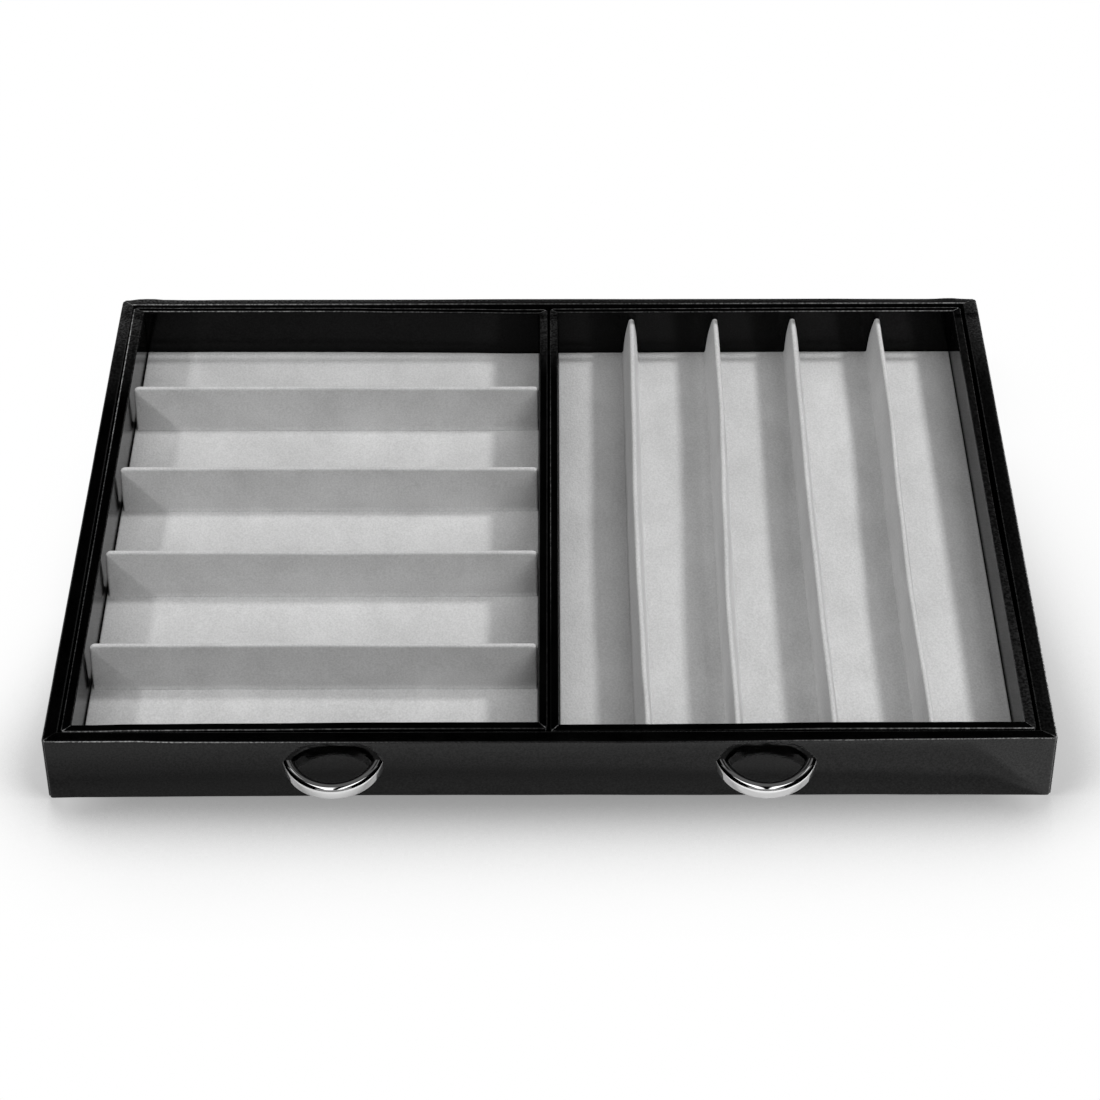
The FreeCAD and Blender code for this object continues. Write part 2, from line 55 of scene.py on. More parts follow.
TRAY_CENTRE = 96.8
TRAY_WIDTH, TRAY_DEPTH = 192.0, 290.6
TRAY_INNER, TRAY_OUTER = TRAY_CENTRE - TRAY_WIDTH / 2, TRAY_CENTRE + TRAY_WIDTH / 2
TRAY_FOOT, TRAY_RIM = 3.6, 29.4
TRAY_WALL = 3.7
TRAY_WALLS = {"front": 4.3, "right": TRAY_WALL, "back": 3.3, "left": TRAY_WALL}
TRAY_CORNER, TRAY_SKIN = 1.8, 0.6
PAD_FOOT, PAD_TOP = 5.0, 6.8
CROSS_RIDGE, LONG_RIDGE = 28.5, 26.7

PULL_X = 85.6
PULL_LEVEL = 17.2
PULL_RADIUS = 18.45
PULL_BAR_WIDTH, PULL_BAR_HEIGHT, PULL_BAR_ROUNDING = 4.9, 6.8, 2.0
PULL_SETBACK = 5.3
PULL_SUNK = 0.6
PULL_STEPS = 96
PULL_DROOP = math.radians(9.0)


# ---------------------------------------------------------------- small helpers


def wobble(x, y, seed, size):
    """A smooth irregular value between -1 and 1 that changes over about size millimetres."""
    return noise.noise(Vector((x / size, y / size, seed * 7.31)))


def smoothstep(low, high, value):
    """0 below low, 1 above high, and a smooth rise between them."""
    t = min(1.0, max(0.0, (value - low) / (high - low)))
    return t * t * (3.0 - 2.0 * t)


def blend(low, high, share):
    """low for a share of 0 or less, high for a share of 1 or more."""
    return low + (high - low) * min(1.0, max(0.0, share))


def curve_at(points, at):
    """The value of a smooth curve through (position, value) points, ordered by position."""
    if at <= points[0][0]:
        return points[0][1]
    for (a, low), (b, high) in zip(points, points[1:]):
        if at <= b:
            return low + (high - low) * smoothstep(a, b, at)
    return points[-1][1]


def rounded_off(radius, from_edge):
    """How far a rounded edge falls short of its flat at this distance from the edge."""
    return radius - math.sqrt(max(0.0, radius ** 2 - max(0.0, radius - from_edge) ** 2))


def add_object(name, data):
    thing = bpy.data.objects.new(name, data)
    scene.collection.objects.link(thing)
    return thing


def make_piece(name, points, faces, material, body, replaced, weights=None):
    """A mesh piece from points in millimetres. It rides on a CAD body and replaces a CAD node."""
    mesh = bpy.data.meshes.new(name)
    mesh.from_pydata([(x * MM, y * MM, z * MM) for x, y, z in points], [], faces)
    for attribute, values in (weights or {}).items():
        mesh.attributes.new(attribute, "FLOAT", "POINT").data.foreach_set("value", values)
    mesh.validate()
    mesh.materials.append(material)
    for polygon in mesh.polygons:
        polygon.use_smooth = True
    piece = add_object(name, mesh)
    bpy.context.view_layer.update()
    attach(piece, body)
    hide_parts(replaced)
    return piece


def ring_faces(rings, points_in_ring):
    """Faces between closed rings of points that follow one another, with both ends closed."""
    faces = []
    for ring in range(rings - 1):
        a, b = ring * points_in_ring, (ring + 1) * points_in_ring
        for n in range(points_in_ring):
            m = (n + 1) % points_in_ring
            faces.append((a + n, b + n, b + m, a + m))
    first, last = range(points_in_ring), (rings - 1) * points_in_ring
    return faces + [tuple(first), tuple(last + n for n in reversed(first))]


# ---------------------------------------------------------------- materials


MIX_FACTOR, MIX_A, MIX_B, MIX_RESULT = 0, 6, 7, 2  # the colour sockets of a Mix node


def grey(value):
    return value, value, value


def new_material(name, **sockets):
    """A Principled material whose plain numbers and colours are set on the shader's own sockets."""
    material = bpy.data.materials.new(name)
    material.use_nodes = True
    shader = material.node_tree.nodes["Principled BSDF"]
    for socket, value in sockets.items():
        shader.inputs[socket.replace("_", " ")].default_value = value
    return material, material.node_tree, shader


def add(tree, kind, **settings):
    """A new node with these settings."""
    node = tree.nodes.new(kind)
    for name, value in settings.items():
        setattr(node, name, value)
    return node


def texture(tree, scale, stretch=(1, 1, 1), kind="ShaderNodeTexNoise", **inputs):
    """A texture in the piece's own coordinates, in cells per metre."""
    coordinates = add(tree, "ShaderNodeTexCoord")
    mapping = add(tree, "ShaderNodeMapping")
    mapping.inputs["Scale"].default_value = stretch
    tree.links.new(coordinates.outputs["Object"], mapping.inputs["Vector"])
    node = add(tree, kind)
    node.inputs["Scale"].default_value = scale
    for name, value in inputs.items():
        node.inputs[name].default_value = value
    tree.links.new(mapping.outputs["Vector"], node.inputs["Vector"])
    return node


def ramp(tree, source, low, high, from_low=0.3, from_high=0.7):
    """Source, remapped so that from_low..from_high gives low..high."""
    node = add(tree, "ShaderNodeMapRange")
    node.inputs["From Min"].default_value = from_low
    node.inputs["From Max"].default_value = from_high
    node.inputs["To Min"].default_value = low
    node.inputs["To Max"].default_value = high
    tree.links.new(source, node.inputs["Value"])
    return node.outputs["Result"]


def tint(tree, source, dark, light):
    """A colour between dark and light, by source between 0 and 1."""
    node = add(tree, "ShaderNodeMix", data_type="RGBA")
    node.inputs[MIX_A].default_value = (*dark, 1.0)
    node.inputs[MIX_B].default_value = (*light, 1.0)
    tree.links.new(source, node.inputs[MIX_FACTOR])
    return node.outputs[MIX_RESULT]


def calculate(tree, operation, *values):
    """A Math node on outputs of other nodes and plain numbers."""
    node = add(tree, "ShaderNodeMath", operation=operation)
    for socket, value in zip(node.inputs, values):
        if isinstance(value, float):
            socket.default_value = value
        else:
            tree.links.new(value, socket)
    return node.outputs[0]


def multiply(tree, a, b):
    return calculate(tree, "MULTIPLY", a, b)


def multiply_add(tree, a, factor, b):
    """a times a plain number, plus b."""
    return calculate(tree, "MULTIPLY_ADD", a, factor, b)


def total(tree, a, b):
    return multiply_add(tree, a, 1.0, b)


def between(tree, source, low, high, soft):
    """1 where source lies between low and high, 0 outside, over soft on each side."""
    rise = ramp(tree, source, 0.0, 1.0, low, low + soft)
    fall = ramp(tree, source, 1.0, 0.0, high - soft, high)
    return multiply(tree, rise, fall)


def bump(tree, height, distance, below=None):
    node = add(tree, "ShaderNodeBump")
    node.inputs["Distance"].default_value = distance
    node.inputs["Strength"].default_value = 1.0
    tree.links.new(height, node.inputs["Height"])
    if below is not None:
        tree.links.new(below, node.inputs["Normal"])
    return node.outputs["Normal"]


# How pale the leather is painted where it carries a painted highlight on its edges.
EDGE_HIGHLIGHT_TONE = 0.55
COARSE_GRAIN = 0.00035


def leather_material(name, roughness, grain, ior, wave):
    """Black leather: fine pebbled grain over slow waves.

    Where the piece's edge highlight weight is high the leather carries a painted highlight: paler
    in specks along its rounded edges. Where "grain" is high the pebbles stand out and the finish
    is duller. grain and wave are depths in metres.
    """
    material, tree, shader = new_material(name, IOR=ior)
    clouds = texture(tree, 60.0, Detail=3.0).outputs["Fac"]
    cells = texture(tree, 1500.0, kind="ShaderNodeTexVoronoi", Randomness=1.0)
    cells.feature = "SMOOTH_F1"
    pores = texture(tree, 1300.0, Detail=2.0).outputs["Fac"]
    waves = texture(tree, 90.0, Detail=1.0).outputs["Fac"]
    specks = texture(tree, 900.0, Detail=3.0).outputs["Fac"]
    edge_highlight = add(tree, "ShaderNodeAttribute", attribute_name="edge_highlight").outputs["Fac"]
    raised = add(tree, "ShaderNodeAttribute", attribute_name="grain").outputs["Fac"]

    gloss = ramp(tree, clouds, roughness * 0.85, roughness * 1.2)
    tree.links.new(multiply_add(tree, raised, 0.16, gloss), shader.inputs["Roughness"])
    shine = ramp(tree, pores, 0.38, 0.62)
    tree.links.new(shine, shader.inputs["Specular IOR Level"])

    mottled = ramp(tree, total(tree, pores, clouds), 0.0, 1.0, 0.75, 1.25)
    # Painted highlight: pale specks where the edge highlight weight is high.
    painted_highlight = multiply(tree, edge_highlight, ramp(tree, specks, 0.25, 1.15, 0.40, 0.66))
    tone = add(tree, "ShaderNodeMix", data_type="RGBA")
    tone.inputs[MIX_B].default_value = (*grey(EDGE_HIGHLIGHT_TONE), 1.0)
    tree.links.new(painted_highlight, tone.inputs[MIX_FACTOR])
    tree.links.new(tint(tree, mottled, grey(0.0001), grey(0.0014)), tone.inputs[MIX_A])
    tree.links.new(tone.outputs[MIX_RESULT], shader.inputs["Base Color"])

    slow = bump(tree, waves, wave)
    pebbled = bump(tree, cells.outputs["Distance"], grain, below=slow)
    fine = bump(tree, pores, grain * 0.35, below=pebbled)
    coarse = bump(tree, specks, COARSE_GRAIN, below=fine)
    tree.links.new(raised, coarse.node.inputs["Strength"])
    tree.links.new(coarse, shader.inputs["Normal"])
    return material


VELOUR_TONE = 0.60


def velour_material():
    """Pale grey velour: brushed cloudy nap, short pile that catches light at grazing angles."""
    material, tree, shader = new_material(
        "velour", Roughness=0.95, IOR=1.3, Sheen_Weight=0.22, Sheen_Roughness=0.45)
    shader.inputs["Sheen Tint"].default_value = (1.0, 1.0, 1.0, 1.0)
    nap = texture(tree, 48.0, stretch=(1.0, 0.6, 1.0), Detail=3.0, Distortion=0.4).outputs["Fac"]
    pile = texture(tree, 1300.0, stretch=(1.0, 0.7, 1.0), Detail=3.0).outputs["Fac"]
    mixed = ramp(tree, multiply_add(tree, pile, 1.5, nap), 0.0, 1.0, 0.85, 1.65)
    colour = tint(tree, mixed, grey(VELOUR_TONE * 0.86), grey(VELOUR_TONE * 1.13))
    tree.links.new(colour, shader.inputs["Base Color"])
    soft = bump(tree, nap, 0.00015)
    tree.links.new(bump(tree, pile, 0.00014, below=soft), shader.inputs["Normal"])
    return material


def plain_material(name, marks, rough, dark, light, depth=None, **sockets):
    """A finish that one texture, marks, runs through: roughness, tone and, with a depth, relief."""
    material, tree, shader = new_material(name, **sockets)
    pattern = texture(tree, **marks).outputs["Fac"]
    tree.links.new(ramp(tree, pattern, *rough), shader.inputs["Roughness"])
    tree.links.new(tint(tree, pattern, dark, light), shader.inputs["Base Color"])
    if depth is not None:
        tree.links.new(bump(tree, pattern, depth), shader.inputs["Normal"])
    return material


def cloth_material(name, dark, light, scale, depth):
    """Felt, lining or backing cloth: fine fibres with a slightly uneven tone."""
    return plain_material(name, dict(scale=scale, Detail=6.0, Roughness=0.7), (0.85, 1.0),
                          grey(dark), grey(light), depth, IOR=1.35, Sheen_Weight=0.15)


DRAWER_LEATHER = leather_material("drawer_leather", 0.08, 0.000020, 1.42, 0.00010)
TRAY_LEATHER = leather_material("tray_leather", 0.10, 0.000010, 1.235, 0.00006)
VELOUR = velour_material()
CHROME = plain_material("pull_chrome", dict(scale=260.0, stretch=(1.0, 1.0, 4.0), Detail=3.0),
                        (0.025, 0.06), grey(0.86), grey(0.93), Metallic=1.0)

NODE_MATERIALS = {
    "board": plain_material(
        "fibreboard", dict(scale=900.0, stretch=(1.0, 1.0, 3.0), Detail=5.0), (0.7, 0.9),
        (0.24, 0.15, 0.08), (0.40, 0.27, 0.16), 0.0001, IOR=1.4),
    "card": cloth_material("black_card", 0.004, 0.010, 1200.0, 0.00002),
    "lining": cloth_material("black_lining", 0.006, 0.014, 1500.0, 0.00005),
    "felt": cloth_material("black_felt", 0.008, 0.022, 2200.0, 0.00012),
    "backing": cloth_material("grey_backing", 0.03, 0.055, 1800.0, 0.00004),
    "screw_steel": plain_material("screw_steel", dict(scale=700.0, Detail=3.0), (0.25, 0.4),
                                  grey(0.45), grey(0.6), Metallic=1.0),
}


# ---------------------------------------------------------------- leather skins


def arc(centre, radius, start, end, steps):
    """Points (inset, height) of an arc, both ends in, angles in degrees from the inward axis."""
    made = []
    for n in range(steps + 1):
        angle = math.radians(start + (end - start) * n / steps)
        made.append((centre[0] + radius * math.cos(angle), centre[1] + radius * math.sin(angle)))
    return made


def line(a, b, steps):
    """Points from a up to but not including b."""
    return [(a[0] + (b[0] - a[0]) * n / steps, a[1] + (b[1] - a[1]) * n / steps)
            for n in range(steps)]


PAST_ARC = 0.3  # how far past an arc the next row of points starts


def drawer_section(wall, outer, inner):
    """Outside of the skin, from its turned-in edge below the drawer to its foot inside.

    outer and inner are the radii of the rim's two edges.
    """
    rim, foot, sill, above_sill, turned_in, lining = HEIGHT, 0.1, 0.5, 1.4, 12.0, 3.0
    return [
        *line((turned_in, foot), (sill, foot), 5),
        *arc((sill, foot + sill), sill, 270, 180, 6),
        *line((0.0, foot + above_sill), (0.0, rim - outer), 14),
        *arc((outer, rim - outer), outer, 180, 90, 8),
        *line((outer + PAST_ARC, rim), (wall - inner, rim), 5),
        *arc((wall - inner, rim - inner), inner, 90, 0, 7),
        *line((wall, rim - inner - PAST_ARC), (wall, lining), 8),
        (wall, lining),
    ]


def tray_section(wall, outer, inner):
    """Outside of a tray wall's skin, from its foot outside to its foot inside."""
    rim = TRAY_RIM
    return [
        *line((0.0, TRAY_FOOT), (0.0, rim - outer), 8),
        *arc((outer, rim - outer), outer, 180, 90, 6),
        *line((outer + PAST_ARC, rim), (wall - inner, rim), 3),
        *arc((wall - inner, rim - inner), inner, 90, 0, 6),
        *line((wall, rim - inner - PAST_ARC), (wall, PAD_FOOT), 8),
        (wall, PAD_FOOT),
    ]


def edge_highlight_weights(section, rim, wall, radii, strengths):
    """How strong the painted highlight is at each point of a section: on its rounded rim edges,
    most in mid bend.
    """
    weights = []
    for inset, height in section:
        down = rim - height
        weight = 0.0
        for across, radius, strength in zip((inset, wall - inset), radii, strengths):
            if across < radius and down < radius:
                angle = math.atan2(radius - across, radius - down)
                weight = max(weight, strength * math.sin(2 * angle) ** 4)
        weights.append(weight)
    return weights


def hidden_side(section, thickness, wall, foot):
    """The skin's other side, against the board: one point for each point of the section."""
    rim = max(z for _, z in section) - thickness
    return [(min(max(inset, thickness), wall - thickness) if height > foot
             else max(inset, thickness), min(max(height, foot), rim))
            for inset, height in section]


def board_section(skin, wall, foot, rim):
    """The board inside a skin: up its outer side, over the top and down its inner side."""
    inside = skin + BOARD_PLAY
    near, far, top = inside, wall - inside, rim - inside
    return [*line((near, foot), (near, top), 8), *line((near, top), (far, top), 3),
            *line((far, top), (far, foot), 8), (far, foot)]


SIDES = ("front", "right", "back", "left")
BOARD_PLAY = 0.05
STATION_SPACING, CORNER_STEPS = 4.0, 9
MITRE_RUN = 1.2       # straight leather that follows the mitre's line before the corner's bend
# how strong the painted highlight is on the rim along each corner's mitre
MITRE_HIGHLIGHT = 0.7
RIM_DEPTH = 1.5       # what lies less than this below the rim belongs to it


class WrappedFrame:
    """Four leather-wrapped walls round a rectangle, mitred at the corners, in millimetres.

    skin is the leather's thickness and walls that of each side. edges holds, for each side, the
    radii of the rim's outer and inner edge, and the argument after it how strong the painted
    highlight along them is, both as curves along the side. settle moves the finished points, and
    the argument after it says how strong the painted highlight on the rim's flat top is.
    """

    def __init__(self, name, size, centre, corner, skin, foot, rim, walls, edges, edge_highlights, section,
                 settle, flat_highlight, material, slot):
        self.name, self.centre, self.corner = name, centre, corner
        self.width, self.depth = size
        self.skin, self.foot, self.rim = skin, foot, rim
        self.walls, self.edges, self.edge_highlights = walls, edges, edge_highlights
        self.section, self.settle, self.flat_highlight = section, settle, flat_highlight
        self.material, self.slot = material, slot

    def reach(self, side):
        """How long a side is."""
        return self.width if side in ("front", "back") else self.depth

    def stations(self, side):
        """Places along a side: (kind, how far, which end), at its corners and straight between."""
        straight = int(self.reach(side) / STATION_SPACING)
        steps = range(CORNER_STEPS)
        before = [("corner", (CORNER_STEPS - n) / CORNER_STEPS, -1) for n in steps]
        made = [("straight", -1.0 + 2.0 * n / straight, 0) for n in range(straight + 1)]
        after = [("corner", (n + 1) / CORNER_STEPS, 1) for n in steps]
        return before + made + after

    def along(self, side, inset, station):
        """Where a point of this inset lies along its side, and its inset after the bend."""
        kind, share, sign = station
        ahead = sign or (1 if share > 0 else -1)
        beside = self.walls[SIDES[(SIDES.index(side) + ahead) % len(SIDES)]]
        own, radius = self.walls[side], self.corner
        half = self.reach(side) / 2
        mitre = radius
        if inset > radius:
            mitre += (inset - radius) * (beside - radius) / (own - radius)
        end = half - mitre - MITRE_RUN
        if kind == "straight":
            return share * end, inset
        bend = max(radius - inset, 0.0)
        travelled = (MITRE_RUN + bend * math.pi / 4) * share
        if travelled <= MITRE_RUN or bend <= 0.0:
            return sign * (end + min(travelled, MITRE_RUN)), inset
        angle = (travelled - MITRE_RUN) / bend
        return sign * (half - radius + bend * math.sin(angle)), radius - bend * math.cos(angle)

    def placed(self, side, point, station):
        """A point (inset, height) of a side at a station, in the drawer's frame, settled."""
        along, inset = self.along(side, point[0], station)
        outside = (self.depth if side in ("front", "back") else self.width) / 2
        turn = Matrix.Rotation(math.radians(90 * SIDES.index(side)), 4, "Z")
        p = turn @ Vector((along, -outside + inset, point[1]))
        return self.settle(p.x + self.centre, p.y, p.z, side)

    def position(self, side, station):
        """Drawer coordinate of a station along its side: x at front and back, y at the others."""
        along = self.along(side, 0.0, station)[0]
        if side in ("back", "left"):
            along = -along
        return along + (self.centre if side in ("front", "back") else 0.0)

    def make_skin(self, side, seed, rough_rim):
        """The leather of one side: fullness over the board, soft mitres, painted highlights on its
        edges.
        """
        wall, stations = self.walls[side], self.stations(side)
        points, edge_highlight, grain = [], [], []
        for station in stations:
            at = self.position(side, station)
            radii = [curve_at(table, at) for table in self.edges[side]]
            strengths = [curve_at(table, at) for table in self.edge_highlights[side]]
            section = self.section(wall, *radii)
            hidden = hidden_side(section, self.skin, wall, self.foot)
            painted_highlight = edge_highlight_weights(section, self.rim, wall, radii, strengths)
            bend = station[1] if station[0] == "corner" else 0.0
            pulled_in = 0.34 * smoothstep(0.80, 1.0, bend)
            # A painted highlight on the rim along the corners' mitres.
            mitred = MITRE_HIGHLIGHT * smoothstep(0.86, 1.0, bend)
            for (od, oz), (hd, hz), highlight_weight in zip(section, hidden, painted_highlight):
                fullness = 1.0 - pulled_in
                fullness -= 0.07 * (1.0 + wobble(at, oz + 3.0 * od, seed, 22.0))
                fullness -= 0.03 * (1.0 + wobble(at, oz + 3.0 * od, seed + 5, 5.0))
                point = (hd + (od - hd) * fullness, hz + (oz - hz) * fullness)
                points.append(self.placed(side, point, station))
                # Painted highlights on the rim: along its edges, at the mitres and along its flat
                # top.
                on_rim = 1.0 if oz > self.rim - RIM_DEPTH else 0.0
                outward = 1.0 - smoothstep(0.5, 4.2, od)
                flat_highlight = self.flat_highlight(side, at, od / wall)
                edge_highlight.append(max(highlight_weight, mitred * on_rim, flat_highlight * on_rim))
                grain.append(max(0.55 * edge_highlight[-1], rough_rim * on_rim * outward))
            for point in reversed(hidden):
                points.append(self.placed(side, point, station))
                edge_highlight.append(0.0)
                grain.append(0.0)
        faces = ring_faces(len(stations), len(points) // len(stations))
        make_piece(f"{self.name}_{side}_skin", points, faces, self.material, self.name,
                   f"{self.name}_{side}_leather", {"edge_highlight": edge_highlight, "grain": grain})

    def make_board(self, side):
        """The board inside one side's leather, which follows the settled skin."""
        section = board_section(self.skin, self.walls[side], self.foot, self.rim)
        stations = self.stations(side)
        points = [self.placed(side, point, station) for station in stations for point in section]
        faces = ring_faces(len(stations), len(section))
        make_piece(f"{self.name}_{side}_core", points, faces, NODE_MATERIALS["board"], self.name,
                   f"{self.name}_{side}_board")


def level(value):
    """A curve that has one value all along."""
    return [(0.0, value)]


# Radii of each side's rim edges: outer edge, then inner edge.
DRAWER_EDGES = {
    "front": (level(0.6), level(0.9)),
    "right": (level(1.2), level(0.9)),
    "back": ([(-180, 1.0), (-170, 1.8)], level(0.9)),
    "left": (level(1.2), level(0.9)),
}
# How strong the painted highlight along each side's rim edges is: outer edge, then inner edge,
# by x at the front and back and by y at the others. The corners and the trays' outer sides get
# the most.
DRAWER_EDGE_HIGHLIGHTS = {
    "front": ([(-180, 0.90), (-45, 0.02), (40, 0.02), (185, 0.60)], [(-180, 0.01), (180, 0.10)]),
    "right": ([(-130, 0.80), (140, 0.10)], level(0.06)),
    "back": (level(0.02), [(-172, 0.60), (0, 0.13), (178, 0.50)]),
    "left": (level(0.10), level(0.02)),
}
LEFT_TRAY_EDGE_HIGHLIGHTS = {
    "front": ([(-185, 0.52), (-30, 0.08)], level(0.04)),
    "right": (level(0.04), level(0.04)),
    "back": (level(1.0), [(-172, 0.80), (-18, 0.12)]),
    "left": ([(-128, 0.16), (0, 0.30), (120, 1.80)], level(0.06)),
}
RIGHT_TRAY_EDGE_HIGHLIGHTS = {
    "front": ([(60, 0.01), (178, 0.60)], level(0.04)),
    "right": ([(-128, 0.05), (120, 0.12)], level(0.08)),
    "back": (level(0.80), [(42, 0.16), (178, 0.55)]),
    "left": ([(-97, 0.01), (0, 0.40), (120, 0.10)], level(0.04)),
}

# The same for the painted highlight on the rims' flat tops, which shows only toward the back.
MIDDLE_FLAT_HIGHLIGHT = [(88, 0.0), (138, 0.04)]
DRAWER_FLAT_HIGHLIGHT = {
    "left": [(60, 0.0), (100, 0.02), (142, 0.09)],
    "back": [(-190, 0.09), (0, 0.04), (185, 0.03)],
    "right": [(-150, 0.01), (80, 0.005), (142, 0.05)],
}
LEFT_TRAY_FLAT_HIGHLIGHT = {
    "left": [(70, 0.0), (100, 0.015), (140, 0.06)], "right": MIDDLE_FLAT_HIGHLIGHT, "back": level(0.25),
}
RIGHT_TRAY_FLAT_HIGHLIGHT = {
    "right": [(-150, 0.03), (110, 0.01)], "left": MIDDLE_FLAT_HIGHLIGHT, "back": level(0.23),
}


def even_fade(across):
    return blend(1.35, 0.70, across)


def steep_fade(across):
    return blend(2.0, 0.20, across)


def edge_only(across):
    return 1.0 if across < 0.25 else 0.0


def flat_highlight_of(tables, back_fade):
    """How strong the painted highlight on a rim's flat top is: most along its outer edge."""
    def flat_highlight(side, at, across):
        if side not in tables:
            return 0.0
        fade = back_fade if side == "back" else even_fade
        return curve_at(tables[side], at) * fade(across)
    return flat_highlight


# How far, in millimetres, the real drawer and trays have settled away from straight. By x, how
# low the back rim lies, how far forward the front's foot and top lean, and how far back each
# tray's front and back lie. By y, how far out the right tray's right wall lies.
BACK_SETTLED = [
    (-196, 1.0), (-192.8, 0.3), (-189, 0.1), (-184, 0.15), (-180, 0.70), (-174, 0.55),
    (-165, 0.55), (-150, 0.40), (-60, 0.45), (-20, 0.28), (0, 0.30), (60, 0.48), (130, 0.44),
    (155, 0.65), (165, 0.75), (178, 0.75), (183, 0.50), (187, 0.0), (191, 0.6), (195, 0.9),
]
FRONT_FOOT_OUT = [(-200, 1.25), (-185, 1.0), (-165, 0.75), (-125, 0.5), (-60, 0.0), (20, 0.1),
                  (60, 0.3), (125, 0.2), (160, 0.4), (200, 0.7)]
FRONT_TOP_OUT = [(-184, 0.6), (-165, 0.5), (-148, 1.1), (-124, 1.2), (-68, 1.3), (0, 1.4),
                 (36, 1.5), (60, 1.25), (116, 0.5), (140, 0.1), (164, -0.1), (185, -0.4)]
LEFT_TRAY_FRONT = [(-190, -0.95), (-181, -0.9), (-165, -0.4), (-122, -0.1), (-67, 0.4), (-5, 0.4)]
LEFT_TRAY_BACK = [(-190, 0.8), (-172, 0.6), (-125, 0.5), (-97, 0.4), (-70, -0.2), (-42, -0.6),
                  (-15, -1.2)]
RIGHT_TRAY_FRONT = [(1, -1.1), (40, -0.95), (60, -0.8), (116, 0.0), (190, 0.0)]
RIGHT_TRAY_BACK = [(1, -0.65), (192, -0.15)]
RIGHT_TRAY_SIDE = [(-128, 0.60), (0, -0.45), (120, 0.15)]


def settle_drawer(x, y, z, side):
    """The rim lies low at the back, the left wall thickens and the front's foot leans out."""
    if side == "back":
        low = curve_at(BACK_SETTLED, x) * blend(1.0, 0.0, (DEPTH / 2 - y) / WALL)
    else:
        low = 0.40 * smoothstep(100.0, 140.0, y) + 0.45 * smoothstep(143.0, 150.0, y)
    if side == "left":
        x += 0.55 * blend(0.0, 1.0, (x + WIDTH / 2) / WALL) * (1.0 - smoothstep(-150.0, 110.0, y))
    forward = blend(0.0, 1.0, (WALL - DEPTH / 2 - y) / WALL)
    y -= forward * blend(curve_at(FRONT_FOOT_OUT, x), curve_at(FRONT_TOP_OUT, x), z / HEIGHT)
    return x, y, z - low * smoothstep(14.0, 27.0, z)


def settle_left_tray(x, y, z, side=None):
    """Longer by a trace at its left end, and its left wall thicker toward the back."""
    back = (y + TRAY_DEPTH / 2) / TRAY_DEPTH
    outward = blend(1.0, 0.0, (x + TRAY_OUTER) / TRAY_WALL)
    x -= outward * blend(0.35, 1.4, back)
    y += blend(curve_at(LEFT_TRAY_FRONT, x), curve_at(LEFT_TRAY_BACK, x), back)
    return x, y, z


def settle_right_tray(x, y, z, side=None):
    """Turned a trace in its play, and its right wall bowed in."""
    across, back = (x - TRAY_INNER) / TRAY_WIDTH, (y + TRAY_DEPTH / 2) / TRAY_DEPTH
    outward = blend(0.0, 1.0, (x - TRAY_OUTER + TRAY_WALL) / TRAY_WALL)
    bowed = outward * curve_at(RIGHT_TRAY_SIDE, y)
    y += blend(curve_at(RIGHT_TRAY_FRONT, x), curve_at(RIGHT_TRAY_BACK, x), back)
    return x + blend(-0.65, -1.15, across) + bowed, y, z


def drawer_frame():
    drawer = WrappedFrame(
        "drawer", (WIDTH, DEPTH), 0.0, DRAWER_CORNER, DRAWER_SKIN, DRAWER_BOARD_FOOT, HEIGHT,
        DRAWER_WALLS, DRAWER_EDGES, DRAWER_EDGE_HIGHLIGHTS, drawer_section, settle_drawer,
        flat_highlight_of(DRAWER_FLAT_HIGHLIGHT, steep_fade), DRAWER_LEATHER, "drawer_leather")
    for seed, side in enumerate(SIDES):
        drawer.make_skin(side, seed, rough_rim=0.8 if side == "right" else 0.2)
        if side != "front":
            drawer.make_board(side)


def tray_frame(name, centre, edge_highlights, flat_highlight, settle, seed):
    """The four walls of a tray, whose flat top carries its painted highlight along its outer edge
    alone.
    """
    edges = {side: (level(0.7), level(0.7)) for side in SIDES}
    tray = WrappedFrame(
        name, (TRAY_WIDTH, TRAY_DEPTH), centre, TRAY_CORNER, TRAY_SKIN, PAD_FOOT, TRAY_RIM,
        TRAY_WALLS, edges, edge_highlights, tray_section, settle, flat_highlight_of(flat_highlight, edge_only),
        TRAY_LEATHER, "tray_leather")
    for number, side in enumerate(SIDES):
        tray.make_skin(side, seed + number, rough_rim=0.0)
        tray.make_board(side)


# ---------------------------------------------------------------- velour


PAD_HALF_WIDTH = TRAY_WIDTH / 2 - TRAY_WALL - 0.25
PAD_HALF_DEPTH = TRAY_DEPTH / 2 - TRAY_WALL - 0.6
PAD_BACK_GROWTH = 0.6
PAD_SPACING = 2.5
PAD_EDGE = 0.6
PAD_RIM_STATIONS = [0.0, 0.05, 0.18, 0.4, 0.8]
PAD_RIM_STRIP = 1.7


def spaced(half):
    """Positions from -half to half, closer together along the two edges."""
    count = int(2 * half / PAD_SPACING)
    inner = [-half + PAD_RIM_STRIP + 2 * (half - PAD_RIM_STRIP) * n / count
             for n in range(count + 1)]
    return ([-half + r for r in PAD_RIM_STATIONS] + inner
            + [half - r for r in reversed(PAD_RIM_STATIONS)])


